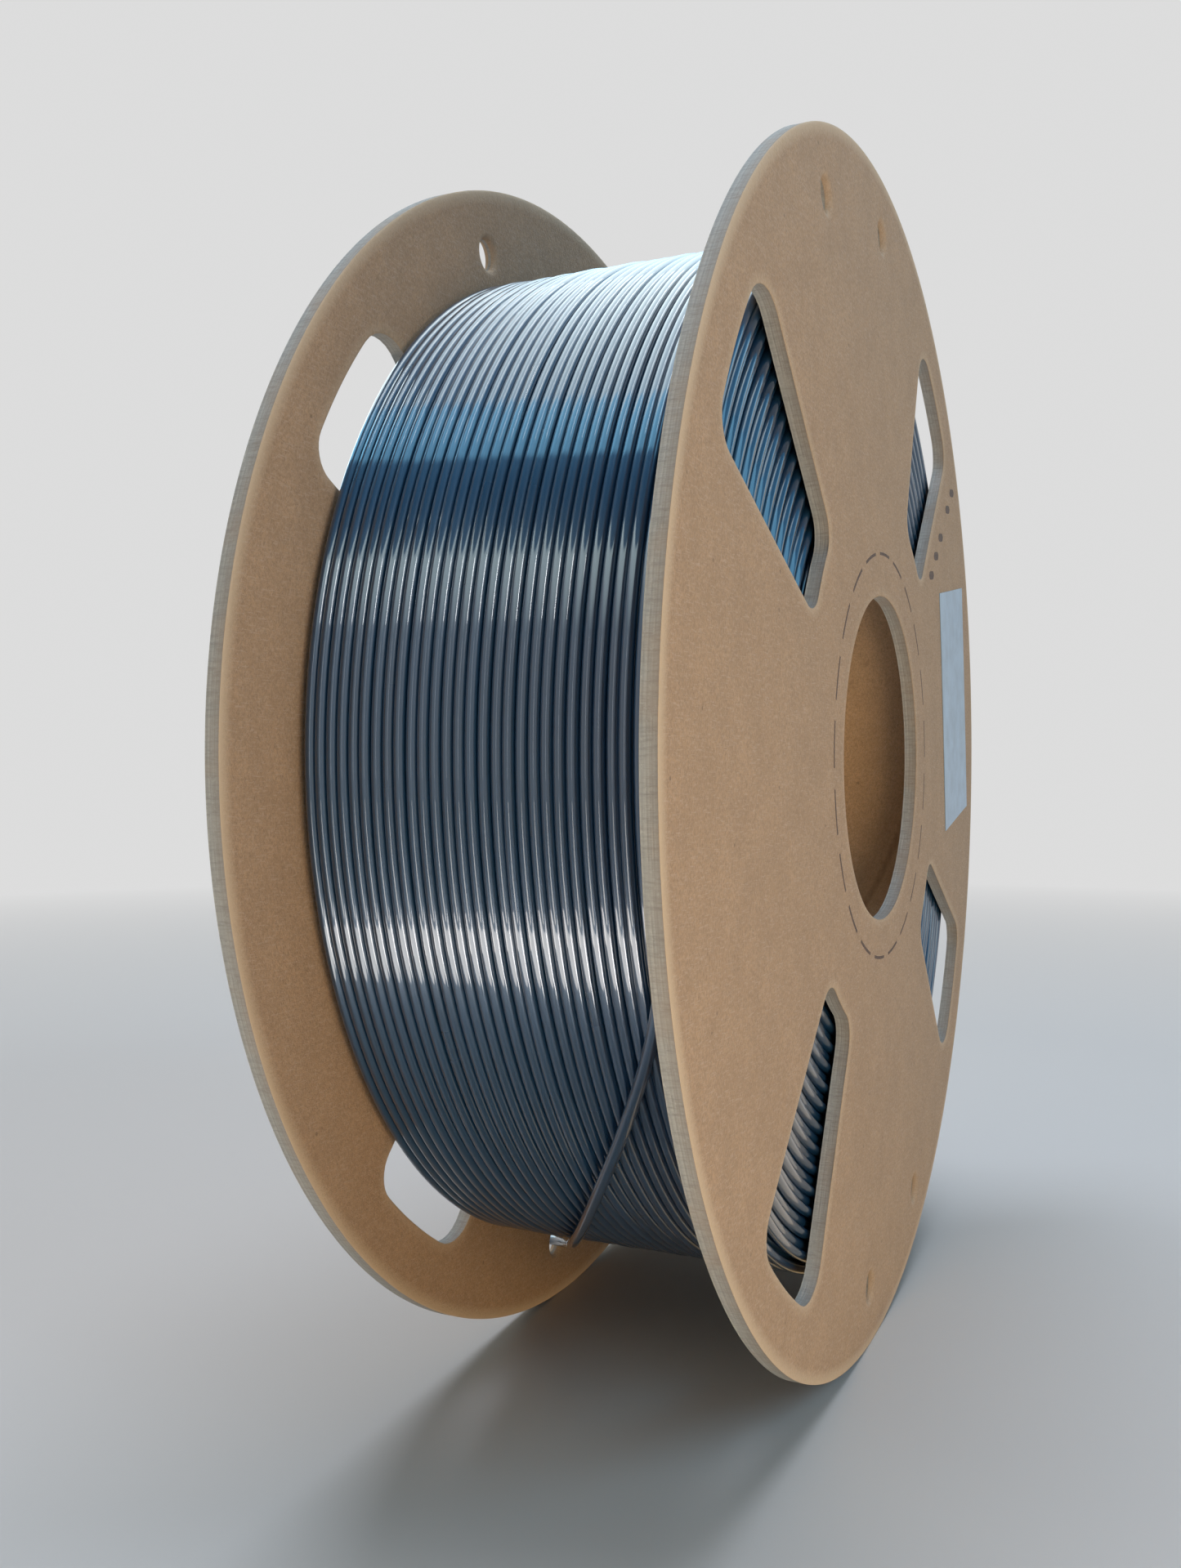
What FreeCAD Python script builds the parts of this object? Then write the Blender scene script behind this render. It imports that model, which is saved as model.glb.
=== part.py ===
"""Filament spool: two laminated board flanges glued to a paper tube, wound with 1.75 mm filament.

The spool's axis is X, with the near flange at +X and the far flange at -X, and Z is up.
Angles are in degrees about the axis: 0 points at the viewer (-Y) and 90 points up (+Z).
"""
import FreeCAD, Part
import math
import os

V = FreeCAD.Vector
SPOOL_AXIS = V(1, 0, 0)
FULL_TURN = 360.0

# Flanges, each a grey board with kraft paper laminated to both faces
FLANGE_DIAMETER = 200.0
FLANGE_THICKNESS = 2.5
BORE_DIAMETER = 55.0
FLANGE_SPACING = 55.6
FAR_FLANGE_TURN = 1.5

# Windows that show how much filament is left, evenly spaced round each flange
WINDOW_COUNT = 4
FIRST_WINDOW_ANGLE = 35.3
WINDOW_SPAN = 20.0
WINDOW_FROM_BORE = 19.0
WINDOW_FROM_RIM = 9.7
WINDOW_CORNER_RADIUS = 4.5

# Holes that hold the filament's end, in pairs midway between two windows, above and below the bore
END_HOLE_DIAMETER = 5.0
END_HOLE_FROM_RIM = 10.0
END_HOLE_OFFSET = 12.0

# Paper tube between the flanges
TUBE_DIAMETER = 80.0
TUBE_WALL = 3.0

# Filament: the inner layers are a plain core, and the outer layer winds round it.
# The real layer has 31 turns side by side. Fewer loops of few sides keep the facets under their limit.
FILAMENT_DIAMETER = 1.75
WINDING_FROM_RIM = 15.0
OUTER_LOOPS = 16
STRAND_SIDES = 3
LAYER_CLEARANCE = 0.1
FLANGE_CLEARANCE = 0.25
LAST_LOOP_ANGLE = -1.0
ARCS_EACH_TURN = 2
GAP_POINTS_EACH_TURN = 72

# The filament's end crosses over the outer layer to a hole in the far flange
TAIL_CLEARANCE = 0.12
TAIL_LIFT_TURN = 12.0
TAIL_CROSSING = ((21.6, -23.0), (14.4, -33.5), (6.0, -44.1), (-2.3, -54.7), (-10.7, -65.3))
TAIL_BEND_HEIGHT = 2.6
TAIL_SETBACK = 0.3
ARC_SHARE = 0.45

# Blank paper label on the near flange
LABEL_WIDTH = 30.0
LABEL_HEIGHT = 50.0
LABEL_THICKNESS = 0.15
LABEL_FROM_RIM = 11.6
LABEL_ANGLE = 171.0
LABEL_TILT = 8.5

# Worked out from the sizes above
FLANGE_RADIUS = FLANGE_DIAMETER / 2
BORE_RADIUS = BORE_DIAMETER / 2
INNER_FACE = FLANGE_SPACING / 2
OUTER_FACE = INNER_FACE + FLANGE_THICKNESS
WINDOW_PITCH = FULL_TURN / WINDOW_COUNT
WINDOW_INNER_RADIUS = BORE_RADIUS + WINDOW_FROM_BORE
WINDOW_OUTER_RADIUS = FLANGE_RADIUS - WINDOW_FROM_RIM
END_HOLE_RADIUS = FLANGE_RADIUS - END_HOLE_FROM_RIM
LABEL_RADIUS = FLANGE_RADIUS - LABEL_FROM_RIM - LABEL_WIDTH / 2
TUBE_RADIUS = TUBE_DIAMETER / 2
STRAND_RADIUS = FILAMENT_DIAMETER / 2
LOOP_RADIUS = FLANGE_RADIUS - WINDING_FROM_RIM - STRAND_RADIUS
CORE_RADIUS = LOOP_RADIUS - STRAND_RADIUS - LAYER_CLEARANCE
TAIL_RADIUS = LOOP_RADIUS + FILAMENT_DIAMETER + TAIL_CLEARANCE
LOOP_TRAVEL = FLANGE_SPACING - FILAMENT_DIAMETER - 2 * FLANGE_CLEARANCE


def at(x, radius, angle):
    """The point at a distance along the axis, a radius from it and an angle about it."""
    turn = math.radians(angle)
    return V(x, -radius * math.cos(turn), radius * math.sin(turn))


def outward(angle):
    """The unit vector that points away from the axis at an angle."""
    return at(0, 1, angle)


def onward(angle):
    """The unit vector along a circle about the axis, the way that the angle grows."""
    return at(0, 1, angle + FULL_TURN / 4)


def circle(x, radius, centre=None):
    middle = centre or V(x, 0, 0)
    return Part.Wire([Part.Circle(middle, SPOOL_AXIS, radius).toShape()])


def arc_about_axis(x, radius, first, last):
    return Part.Arc(at(x, radius, first), at(x, radius, (first + last) / 2), at(x, radius, last))


def plate(wires, thickness):
    """A flat plate from an outline and its holes, extruded along the axis."""
    face = Part.makeFace(wires, "Part::FaceMakerBullseye")
    return face.extrude(SPOOL_AXIS * thickness)


def window_outline(x, middle):
    """A ring's sector with straight radial sides and rounded corners."""
    half = WINDOW_SPAN / 2
    corner = WINDOW_CORNER_RADIUS
    inner_centre = WINDOW_INNER_RADIUS + corner
    outer_centre = WINDOW_OUTER_RADIUS - corner
    inner_turn = math.degrees(math.asin(corner / inner_centre))
    outer_turn = math.degrees(math.asin(corner / outer_centre))
    inner_reach = math.sqrt(inner_centre ** 2 - corner ** 2)
    outer_reach = math.sqrt(outer_centre ** 2 - corner ** 2)
    diagonal = math.sqrt(0.5)

    def corner_arc(side, inner):
        turn = inner_turn if inner else outer_turn
        centre_radius = inner_centre if inner else outer_centre
        reach = inner_reach if inner else outer_reach
        edge_radius = WINDOW_INNER_RADIUS if inner else WINDOW_OUTER_RADIUS
        edge = middle + side * half
        centre = at(x, centre_radius, edge - side * turn)
        radial = outward(edge - side * turn) * (-1 if inner else 1)
        across = onward(edge) * side
        bisector = (radial + across) * diagonal
        bisector.normalize()
        return Part.Arc(
            at(x, reach, edge),
            centre + bisector * corner,
            at(x, edge_radius, edge - side * turn),
        )

    low, high = middle - half, middle + half
    edges = [
        arc_about_axis(x, WINDOW_INNER_RADIUS, low + inner_turn, high - inner_turn),
        corner_arc(1, True),
        Part.LineSegment(at(x, inner_reach, high), at(x, outer_reach, high)),
        corner_arc(1, False),
        arc_about_axis(x, WINDOW_OUTER_RADIUS, low + outer_turn, high - outer_turn),
        corner_arc(-1, False),
        Part.LineSegment(at(x, outer_reach, low), at(x, inner_reach, low)),
        corner_arc(-1, True),
    ]
    return Part.Wire(Part.__sortEdges__([edge.toShape() for edge in edges]))


def end_hole_angles(turn):
    """Angles of the holes for the filament's end, midway between windows, above and below the bore."""
    above = FIRST_WINDOW_ANGLE + WINDOW_PITCH / 2 + turn
    below = above - FULL_TURN / 2
    return [middle + offset for middle in (above, below) for offset in (-END_HOLE_OFFSET, END_HOLE_OFFSET)]


def flange(side, turn):
    """A flange on one side of the spool: a disc with the bore, the windows and the filament's end holes."""
    x = side * INNER_FACE
    wires = [circle(x, FLANGE_RADIUS), circle(x, BORE_RADIUS)]
    for index in range(WINDOW_COUNT):
        wires.append(window_outline(x, FIRST_WINDOW_ANGLE + turn + index * WINDOW_PITCH))
    for angle in end_hole_angles(turn):
        wires.append(circle(x, END_HOLE_DIAMETER / 2, at(x, END_HOLE_RADIUS, angle)))
    return plate(wires, side * FLANGE_THICKNESS)


def core_tube():
    wires = [circle(-INNER_FACE, TUBE_RADIUS), circle(-INNER_FACE, TUBE_RADIUS - TUBE_WALL)]
    return plate(wires, FLANGE_SPACING)


def filament_layers():
    """The inner layers of filament, as one plain core between the flanges."""
    wires = [circle(-INNER_FACE, CORE_RADIUS), circle(-INNER_FACE, TUBE_RADIUS + LAYER_CLEARANCE)]
    return plate(wires, FLANGE_SPACING)


def arc_from(start, direction, end):
    """The arc that leaves start along direction and ends at end."""
    chord = end - start
    along = V(chord)
    along.normalize()
    aside = direction - along * direction.dot(along)
    aside.normalize()
    bend = math.acos(direction.dot(along))
    middle = (start + end) * 0.5 + aside * (chord.Length / 2 * math.tan(bend / 2))
    return Part.Arc(start, middle, end)


def biarc(start, start_direction, end, end_direction):
    """Two arcs that join two points with the given directions and share a tangent where they meet."""
    chord = end - start
    total = start_direction + end_direction
    spread = 2 * (1 - start_direction.dot(end_direction))
    along = chord.dot(total)
    reach = (math.sqrt(along ** 2 + spread * chord.dot(chord)) - along) / spread
    first_corner = start + start_direction * reach
    last_corner = end - end_direction * reach
    joint = (first_corner + last_corner) * 0.5
    joint_direction = last_corner - first_corner
    joint_direction.normalize()
    return [arc_from(start, start_direction, joint), arc_from(joint, joint_direction, end)]


def loop_place(turned):
    """Centre and direction of the outer layer's strand after it has turned so many degrees."""
    share = turned / (OUTER_LOOPS * FULL_TURN)
    angle = LAST_LOOP_ANGLE - turned
    direction = onward(angle) * (-2 * math.pi * LOOP_RADIUS * OUTER_LOOPS) + SPOOL_AXIS * LOOP_TRAVEL
    direction.normalize()
    return at(LOOP_TRAVEL * (share - 0.5), LOOP_RADIUS, angle), direction


def strand(edges, start, direction, up):
    """A closed tube of filament along edges. Its section is a regular polygon with a corner upwards."""
    side = direction.cross(up)
    side.normalize()
    raised = side.cross(direction)
    corners = []
    for index in range(STRAND_SIDES + 1):
        turn = 2 * math.pi * index / STRAND_SIDES
        corners.append(start + (raised * math.cos(turn) + side * math.sin(turn)) * STRAND_RADIUS)
    spine = Part.Wire([edge.toShape() for edge in edges])
    shell = Part.BRepOffsetAPI.MakePipeShell(spine)
    shell.add(Part.makePolygon(corners))
    shell.build()
    shell.makeSolid()
    return shell.shape()


def outer_turns():
    """The outer layer as one unbroken strand. Its ends run straight for one diameter."""
    step = FULL_TURN / ARCS_EACH_TURN
    places = [loop_place(index * step) for index in range(OUTER_LOOPS * ARCS_EACH_TURN + 1)]
    (first, first_direction), (last, last_direction) = places[0], places[-1]
    start = first - first_direction * FILAMENT_DIAMETER
    end = last + last_direction * FILAMENT_DIAMETER
    edges = [Part.LineSegment(start, first)]
    for (here, direction), (there, next_direction) in zip(places, places[1:]):
        edges.extend(biarc(here, direction, there, next_direction))
    edges.append(Part.LineSegment(last, end))
    return strand(edges, start, first_direction, outward(LAST_LOOP_ANGLE)), end, last_direction


def rounded_path(points):
    """Straight runs joined by tangent arcs, each as large as its two runs allow, with the arcs' radii."""
    edges = []
    radii = []
    leave = points[0]
    for before, corner, after in zip(points, points[1:], points[2:]):
        incoming, outgoing = corner - before, after - corner
        trim = ARC_SHARE * min(incoming.Length, outgoing.Length)
        half_turn = incoming.getAngle(outgoing) / 2
        incoming.normalize()
        outgoing.normalize()
        arc_start, arc_end = corner - incoming * trim, corner + outgoing * trim
        edges.append(Part.LineSegment(leave, arc_start))
        edges.append(arc_from(arc_start, incoming, arc_end))
        radii.append(trim / math.tan(half_turn))
        leave = arc_end
    edges.append(Part.LineSegment(leave, points[-1]))
    return edges, radii


def filament_tail(start, direction):
    """The filament's end: it lifts off the last loop, crosses the outer layer and enters a hole."""
    first_angle = TAIL_CROSSING[0][1]
    half_step = (TAIL_CROSSING[1][1] - TAIL_CROSSING[2][1]) / 2
    corner_radius = TAIL_RADIUS / math.cos(math.radians(half_step))
    lift = LOOP_RADIUS * math.tan(math.radians(TAIL_LIFT_TURN))
    hole_angle = end_hole_angles(FAR_FLANGE_TURN)[-1]
    points = [start, start + direction * lift]
    points.extend(at(x, corner_radius, angle) for x, angle in TAIL_CROSSING)
    points.append(at(TAIL_BEND_HEIGHT - INNER_FACE, END_HOLE_RADIUS, hole_angle))
    points.append(at(TAIL_SETBACK - OUTER_FACE, END_HOLE_RADIUS, hole_angle))
    edges, radii = rounded_path(points)
    print("filament tail, arc radii in mm:", [round(radius, 1) for radius in radii])
    return strand(edges, start, direction, outward(LAST_LOOP_ANGLE))


def label():
    """A blank label stuck on the near flange's outer face."""
    corners = [(-1, -1), (1, -1), (1, 1), (-1, 1), (-1, -1)]
    outline = Part.makePolygon([V(0, y * LABEL_WIDTH / 2, z * LABEL_HEIGHT / 2) for y, z in corners])
    sheet = plate([outline], LABEL_THICKNESS)
    sheet.rotate(V(0, 0, 0), SPOOL_AXIS, LABEL_TILT)
    sheet.translate(at(OUTER_FACE, LABEL_RADIUS, LABEL_ANGLE))
    return sheet


def least_loop_gap():
    """Least gap between one loop and the next, measured between points along the strand."""
    step = FULL_TURN / GAP_POINTS_EACH_TURN
    points = [loop_place(index * step)[0] for index in range(OUTER_LOOPS * GAP_POINTS_EACH_TURN + 1)]
    half = GAP_POINTS_EACH_TURN // 2
    least = LOOP_TRAVEL
    for index, point in enumerate(points):
        for other in points[index + half : index + half + GAP_POINTS_EACH_TURN]:
            least = min(least, point.distanceToPoint(other))
    return least - FILAMENT_DIAMETER


def build():
    turns, turns_end, turns_direction = outer_turns()
    return {
        "near_flange": flange(1, 0),
        "far_flange": flange(-1, FAR_FLANGE_TURN),
        "core_tube": core_tube(),
        "filament_layers": filament_layers(),
        "filament_outer_turns": turns,
        "filament_tail": filament_tail(turns_end, turns_direction),
        "label": label(),
    }


os.makedirs("parts", exist_ok=True)
print("least gap between loops in mm: %.3f" % least_loop_gap())
for node, shape in build().items():
    if not shape.isValid():
        raise ValueError(node + " is not a valid solid")
    shape.exportStep("parts/" + node + ".step")
    print("%-22s %2d solid, %9.1f mm3" % (node, len(shape.Solids), shape.Volume))
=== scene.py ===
"""Filament spool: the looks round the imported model, laid out as an add-on and run as a script.

Sizes in the code are millimetres, and every mesh is turned to metres when it is made.
The spool's axis is X. Angles are in degrees about it: 0 points at the viewer (-Y), 90 points up (+Z).
"""

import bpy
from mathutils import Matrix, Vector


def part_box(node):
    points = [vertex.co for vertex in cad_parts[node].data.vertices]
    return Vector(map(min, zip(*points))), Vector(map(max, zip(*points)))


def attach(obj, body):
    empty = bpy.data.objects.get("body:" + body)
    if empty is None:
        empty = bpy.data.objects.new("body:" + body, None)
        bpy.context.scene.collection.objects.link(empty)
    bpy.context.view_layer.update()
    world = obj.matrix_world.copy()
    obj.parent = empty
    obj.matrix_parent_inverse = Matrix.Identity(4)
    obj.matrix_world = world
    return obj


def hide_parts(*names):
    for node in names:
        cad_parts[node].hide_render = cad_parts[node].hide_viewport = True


bl_info = {
    "name": "Filament Spool",
    "version": (1, 0, 0),
    "blender": (4, 5, 0),
    "location": "3D View > Sidebar > Spool",
    "description": "Builds a filament spool with its card flanges, winding, label and stage",
    "category": "Object",
}

import math

import bmesh
import bpy
import numpy as np
from bpy.props import FloatProperty, FloatVectorProperty, IntProperty, PointerProperty
from mathutils import Matrix, Vector, geometry

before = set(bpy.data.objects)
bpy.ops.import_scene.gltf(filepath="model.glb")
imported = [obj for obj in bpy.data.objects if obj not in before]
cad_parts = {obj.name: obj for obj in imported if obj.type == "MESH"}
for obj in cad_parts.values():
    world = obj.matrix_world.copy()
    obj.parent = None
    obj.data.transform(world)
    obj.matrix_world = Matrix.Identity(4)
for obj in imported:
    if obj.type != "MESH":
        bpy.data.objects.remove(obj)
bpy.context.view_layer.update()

MM = 0.001
BODY = "root"
NEAR_LOW, NEAR_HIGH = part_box("near_flange")

# What the panel leaves alone, in millimetres and degrees.
FAR_TURN = 1.5  # by which the far flange was turned when it was glued on
WINDOW_COUNT, FIRST_WINDOW, WINDOW_SPAN = 4, 35.3, 20.0
WINDOW_INNER, WINDOW_OUTER = 46.5, 90.3
WINDOW_CORNER, SOFT_CORNER = 4.5, 7.5
END_HOLE_RADIUS, END_HOLE_FROM_RIM = 2.5, 10.0
END_HOLE_PAIRS, END_HOLE_OFFSET = (80.3, 260.3), 12.0
LABEL_FROM_RIM, LABEL_ANGLE, LABEL_TILT = 26.6, 171.0, 8.5
LABEL_THICK, LABEL_LIFT = 0.12, 0.03
INK_THICK, INK_LIFT = 0.02, 0.01
PRINT_SHIFT = (1.2, 0.35)  # from the middle of the bore to the middle of the printing
FIRST_DASH, DASH_SPAN, DASH_WIDTH = -3.0, 11.8, 0.5
TICK_RADII, TICK_ANGLE = (58.1, 65.4, 72.7, 84.2, 91.3), 140.9
TICK_HALF_LENGTH, TICK_HALF_WIDTH, TICK_LEAN = 2.6, 0.85, 0.35


def linear(code):
    """An sRGB hex colour as the linear RGB that Blender's sockets take."""
    channels = [int(code[i : i + 2], 16) / 255 for i in (1, 3, 5)]
    return tuple(c / 12.92 if c <= 0.04045 else ((c + 0.055) / 1.055) ** 2.4 for c in channels)


def length(name, description, default_mm, low=0.01, high=400.0):
    """A size property in metres, from its value in millimetres."""
    limits = {"min": low * MM, "max": high * MM, "precision": 5, "unit": "LENGTH"}
    return FloatProperty(name=name, description=description, default=default_mm * MM, **limits)


def tint(name, description, code):
    """A colour property from an sRGB hex colour."""
    limits = {"size": 3, "min": 0, "max": 1, "subtype": "COLOR"}
    return FloatVectorProperty(name=name, description=description, default=linear(code), **limits)


class SpoolSizes(bpy.types.PropertyGroup):
    flange_diameter: length("Flange", "Diameter of both flanges", (NEAR_HIGH.z - NEAR_LOW.z) / MM)
    inner_face: length("Half spacing", "From the middle to a flange's inner face", NEAR_LOW.x / MM)
    board: length("Board", "Thickness of the laminated board", (NEAR_HIGH.x - NEAR_LOW.x) / MM)
    bore: length("Bore", "Diameter of the bore", 55.0)
    # The edge widths also carry a pale line painted beside each cut: partly scuffed paper, partly a painted
    # highlight on the rounded edge.
    cut_edge: length("Cut edge", "Width burnished beside a window or the bore", 1.8)
    rim_edge: length("Rim edge", "Width burnished at the rim", 2.2)
    hole_edge: length("Hole edge", "Width of the paper drawn into an end hole", 1.3)
    dish: length("Dish", "How far the near flange's hub has bowed out", 1.5, 0.0, 1.6)
    tube: length("Tube", "Outer diameter of the paper tube", 80.0)
    tube_wall: length("Tube wall", "Wall of the paper tube", 3.0)
    tube_strip: length("Tube strip", "Width of the strip wound into the tube", 62.0)
    filament: length("Filament", "Diameter of the filament", 1.75)
    winding: length("Winding", "Diameter over the outer layer", 170.0)
    label_width: length("Label width", "Width of the blank label", 30.0)
    label_height: length("Label height", "Height of the blank label", 50.0)
    dash_ring: length("Dashed ring", "Radius of the printed ring of dashes", 34.4)
    turns: IntProperty(name="Turns", description="Turns of filament in a layer", default=31, min=5)
    layers: IntProperty(name="Layers", description="Layers of filament on the tube", default=28, min=4)
    dashes: IntProperty(name="Dashes", description="Dashes in the printed ring", default=21, min=3)


class SpoolColours(bpy.types.PropertyGroup):
    kraft: tint("Kraft", "Brown kraft paper on the flanges", "#AD8F70")
    # Paler kraft painted along each cut: partly paper scuffed by the die, partly a painted highlight on the
    # rounded edge.
    burnished_and_highlit: tint("Burnished kraft", "Kraft paper rubbed pale beside a cut", "#C4AE92")
    grey_board: tint("Grey board", "Recycled board at the cut edges", "#AEAEA8")
    tube: tint("Tube", "Brown paper of the tube", "#CCAC86")
    filament: tint("Filament", "Silk filament", "#173A56")
    # A white label's colour, darkened and cooled: painted shade and painted cool light.
    label: tint("Label", "Coated label paper", "#9DB2C4")
    ink: tint("Ink", "Printing on the near flange", "#4A382E")
    floor: tint("Floor", "Stage floor and backdrop", "#D3CEC5")


# Materials. The sizes of their patterns are in millimetres.

FORMATION = 7.0  # the cloudy unevenness that kraft shows against the light
FELT_GRAIN = 0.5  # the mark of the paper machine's felt
# A softwood fibre is about 0.04 mm wide, too fine to show, so it is drawn four times as wide.
FIBRE_WIDTH, FIBRE_LENGTH = 0.16, 1.6
FLECK_SPACING = 6.0  # specks of bark in unbleached pulp
PLY, PLY_WAVER = 0.35, 8.0  # a ply of grey board, and how far it runs before it wavers
# The crushed fibres and the grit between the plies are about 0.1 mm, and are drawn coarser.
CRUSHED_FIBRE, GRIT, CRUSHED_STRETCH = 0.4, 0.5, 7
# Pearl flakes are about 0.03 mm, too fine to show. What shows is the changing pull on the strand.
PULL_WAVE = 70.0
COATING_CLOUD = 5.0  # how the board's relief prints through thin label paper


def add(tree, kind, inputs=None, **settings):
    """Adds a node with its settings. An input is a value, or a socket to link from."""
    node = tree.nodes.new(kind)
    for name, value in settings.items():
        setattr(node, name, value)
    for name, value in (inputs or {}).items():
        if isinstance(value, bpy.types.NodeSocket):
            tree.links.new(value, node.inputs[name])
        else:
            node.inputs[name].default_value = value
    return node


def shade(colour, factor=1.0):
    """A colour made lighter or darker, as RGBA."""
    return (*(min(1.0, c * factor) for c in colour[:3]), 1.0)


def new_finish(name, roughness, ior=1.5):
    """A material with its Principled shader, and the place on the piece in millimetres."""
    material = bpy.data.materials.new(name)
    material.use_nodes = True
    tree = material.node_tree
    tree.nodes.clear()
    shader = add(tree, "ShaderNodeBsdfPrincipled", {"Roughness": roughness, "IOR": ior})
    add(tree, "ShaderNodeOutputMaterial", {"Surface": shader.outputs["BSDF"]})
    place = add(tree, "ShaderNodeTexCoord").outputs["Object"]
    spot = add(tree, "ShaderNodeVectorMath", {0: place, 1: [1 / MM] * 3}, operation="MULTIPLY")
    return material, tree, shader, spot.outputs["Vector"]


def stained(tree, colour, tone, pattern, span, share=(0.0, 1.0)):
    """A colour with a tone laid over it. The tone's share runs from end to end of the pattern's span."""
    cover = add(tree, "ShaderNodeMapRange", {0: pattern, 1: span[0], 2: span[1], 3: share[0], 4: share[1]})
    mixed = add(tree, "ShaderNodeMix", {0: cover.outputs["Result"], 6: colour, 7: tone}, data_type="RGBA")
    return mixed.outputs[2]


def covered(tree, shader, colour, relief, height, strength):
    """Gives a surface its colour and its relief: how high it stands in mm, and how strongly it shows."""
    tree.links.new(colour, shader.inputs["Base Color"])
    lift = add(tree, "ShaderNodeBump", {"Height": relief, "Distance": height * MM, "Strength": strength})
    tree.links.new(lift.outputs["Normal"], shader.inputs["Normal"])


def kraft_pulp(tree, spot, base):
    """Unbleached softwood pulp: cloudy formation, felt grain, dark and pale fibres and specks of bark."""
    clouds = {"Vector": spot, "Scale": 1 / FORMATION, "Detail": 4.0, "Roughness": 0.62}
    cloud = add(tree, "ShaderNodeTexNoise", clouds).outputs["Fac"]
    grains = {"Vector": spot, "Scale": 1 / FELT_GRAIN, "Detail": 3.0, "Roughness": 0.75}
    grain = add(tree, "ShaderNodeTexNoise", grains).outputs["Fac"]
    colour = stained(tree, shade(base, 0.93), shade(base, 1.09), cloud, (0.36, 0.64))
    colour = stained(tree, colour, shade(base, 0.72), grain, (0.40, 0.62), (0.0, 0.7))
    pale = shade([0.84 * part + 0.10 for part in base])
    for turn, tone in ((0.5, shade(base, 0.62)), (1.55, pale), (2.45, shade(base, 0.68)), (3.0, pale)):
        lies = {"Vector": spot, "Rotation": (turn, 0.3, 0), "Scale": (1, 1, FIBRE_LENGTH / FIBRE_WIDTH)}
        lay = add(tree, "ShaderNodeMapping", lies, vector_type="TEXTURE").outputs["Vector"]
        hairs = {"Vector": lay, "Scale": 1 / FIBRE_WIDTH, "Detail": 1.0, "Distortion": 0.4}
        hair = add(tree, "ShaderNodeTexNoise", hairs).outputs["Fac"]
        colour = stained(tree, colour, tone, hair, (0.58, 0.68), (0.0, 0.75))
    fleck = add(tree, "ShaderNodeTexVoronoi", {"Vector": spot, "Scale": 1 / FLECK_SPACING})
    colour = stained(tree, colour, shade(base, 0.4), fleck.outputs["Distance"], (0.03, 0.06), (0.65, 0.0))
    return colour, cloud, grain


def kraft_liner(base, burnished_and_highlit):
    """Kraft liner, calendered on the board machine and scuffed by the die at the cuts.

    To the eye it is matt warm brown with a soft grain. A paler thin line is painted along each cut: partly
    scuffed paper, partly a painted highlight on the rounded edge.
    """
    material, tree, shader, spot = new_finish("kraft_liner", 0.72, 1.47)
    colour, cloud, grain = kraft_pulp(tree, spot, base)
    # The pale line along each cut: partly scuffed paper, partly a painted highlight on the rounded edge.
    rubbed_and_highlit = add(tree, "ShaderNodeAttribute", attribute_name="rubbed_and_highlit").outputs["Fac"]
    colour = stained(tree, colour, shade(burnished_and_highlit), rubbed_and_highlit, (0.0, 1.0))
    relief = add(tree, "ShaderNodeMath", {0: cloud, 1: 2.0, 2: grain}, operation="MULTIPLY_ADD").outputs[0]
    covered(tree, shader, colour, relief, 0.16, 1.0)
    return material


def grey_board(base, kraft, board, rolled):
    """Recycled grey board, die cut across its plies.

    To the eye it is dull grey with fine lines along the plies and short crushed fibres across them. It turns
    browner towards the side where the die went in.
    """
    material, tree, shader, spot = new_finish("grey_board_edge", 0.9, 1.47)
    depth = add(tree, "ShaderNodeAttribute", attribute_name="depth").outputs["Fac"]
    wavers = {"Vector": spot, "Scale": 1 / PLY_WAVER, "Detail": 3.0}
    waver = add(tree, "ShaderNodeTexNoise", wavers).outputs["Fac"]
    across = add(tree, "ShaderNodeCombineXYZ", {"X": depth, "Y": waver}).outputs["Vector"]
    lines = {"Vector": across, "Scale": 1 / PLY, "Detail": 2.0}
    plies = add(tree, "ShaderNodeTexNoise", lines).outputs["Fac"]
    lies = {"Vector": spot, "Scale": (CRUSHED_STRETCH, 1, 1)}
    lay = add(tree, "ShaderNodeMapping", lies, vector_type="TEXTURE").outputs["Vector"]
    fibres = {"Vector": lay, "Scale": 1 / CRUSHED_FIBRE, "Detail": 3.0, "Roughness": 0.7}
    crushed = add(tree, "ShaderNodeTexNoise", fibres).outputs["Fac"]
    specks = {"Vector": spot, "Scale": 1 / GRIT, "Detail": 3.0, "Roughness": 0.7}
    grit = add(tree, "ShaderNodeTexNoise", specks).outputs["Fac"]
    colour = stained(tree, shade(base, 0.84), shade(base, 1.08), plies, (0.35, 0.65))
    colour = stained(tree, colour, shade(base, 0.62), crushed, (0.45, 0.72), (0.0, 0.75))
    colour = stained(tree, colour, shade(base, 1.35), grit, (0.56, 0.76), (0.0, 0.6))
    colour = stained(tree, colour, shade(kraft, 0.95), waver, (0.50, 0.75), (0.0, 0.3))
    # Darker brown towards the face where the die went in.
    colour = stained(tree, colour, shade(kraft, 0.75), depth, (0.4, board), (0.0, 0.4))
    ragged = add(tree, "ShaderNodeMath", {0: grit, 1: 0.3, 2: depth}, operation="MULTIPLY_ADD").outputs[0]
    skin = board - rolled
    colour = stained(tree, colour, shade(kraft, 1.05), ragged, (skin + 0.10, skin + 0.18))
    relief = add(tree, "ShaderNodeMath", {0: crushed, 1: plies}, operation="ADD").outputs[0]
    covered(tree, shader, colour, relief, 0.12, 0.8)
    return material


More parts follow.
